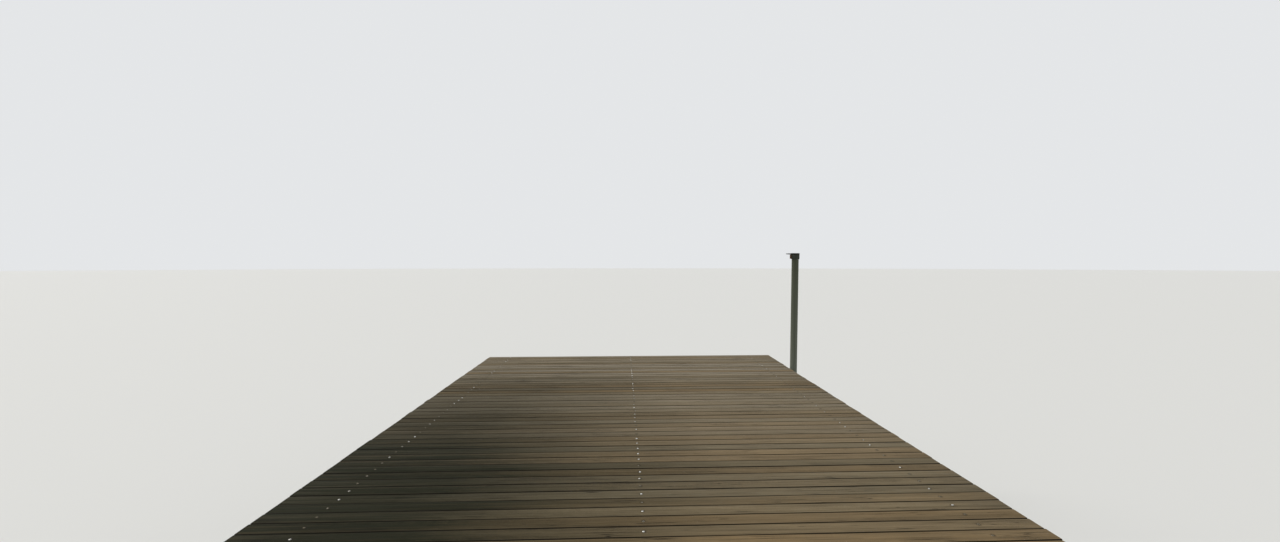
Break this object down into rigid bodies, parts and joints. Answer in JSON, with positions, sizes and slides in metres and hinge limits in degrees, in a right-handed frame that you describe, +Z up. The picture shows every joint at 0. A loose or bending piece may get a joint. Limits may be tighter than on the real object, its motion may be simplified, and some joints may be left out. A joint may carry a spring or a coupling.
{
  "type": "wooden jetty",
  "caption": "Wide timber lake jetty: cross-laid deck boards on stringers, cap beams and round piles, with a steel mooring post beside its lake end.",
  "frame": {"origin": "centre of the flat foot of the middle pile in the bent nearest the shore", "axes": "+Y along the deck from the shore end to the lake end, +Z up, +X to the right of someone who looks out over the lake, so the mooring post is on the +X side"},
  "size_m": [5.173, 12.1434, 3.6226],
  "materials": {
    "deck_timber": "weathered grey-brown boards, bare and grooved",
    "frame_timber": "weathered squared beams, bare",
    "pile_timber": "peeled round piles, dark and stained at the waterline",
    "post_paint": "dark green-grey paint, satin and weathered",
    "zinc_steel": "dull hot-dip zinc, and bright stainless screws"
  },
  "bodies": {
    "root": {"cap_beam_1": "frame_timber", "cap_beam_2": "frame_timber", "cap_beam_3": "frame_timber", "cap_beam_4": "frame_timber", "cap_beam_5": "frame_timber", "cap_beam_6": "frame_timber", "deck_boards_bay_1": "deck_timber", "deck_boards_bay_2": "deck_timber", "deck_boards_bay_3": "deck_timber", "deck_boards_bay_4": "deck_timber", "deck_boards_bay_5": "deck_timber", "deck_boards_bay_6": "deck_timber", "end_plank_lake": "frame_timber", "end_plank_shore": "frame_timber", "mooring_post": "post_paint", "pile_1_left": "pile_timber", "pile_1_middle": "pile_timber", "pile_1_right": "pile_timber", "pile_2_left": "pile_timber", "pile_2_middle": "pile_timber", "pile_2_right": "pile_timber", "pile_3_left": "pile_timber", "pile_3_middle": "pile_timber", "pile_3_right": "pile_timber", "pile_4_left": "pile_timber", "pile_4_middle": "pile_timber", "pile_4_right": "pile_timber", "pile_5_left": "pile_timber", "pile_5_middle": "pile_timber", "pile_5_right": "pile_timber", "pile_6_left": "pile_timber", "pile_6_middle": "pile_timber", "pile_6_right": "pile_timber", "pile_straps": "zinc_steel", "post_bracket": "zinc_steel", "post_cap": "post_paint", "post_clamp_strap": "zinc_steel", "post_head_plate": "post_paint", "stringer_left": "frame_timber", "stringer_middle": "frame_timber", "stringer_right": "frame_timber"}
  },
  "joints": []
}
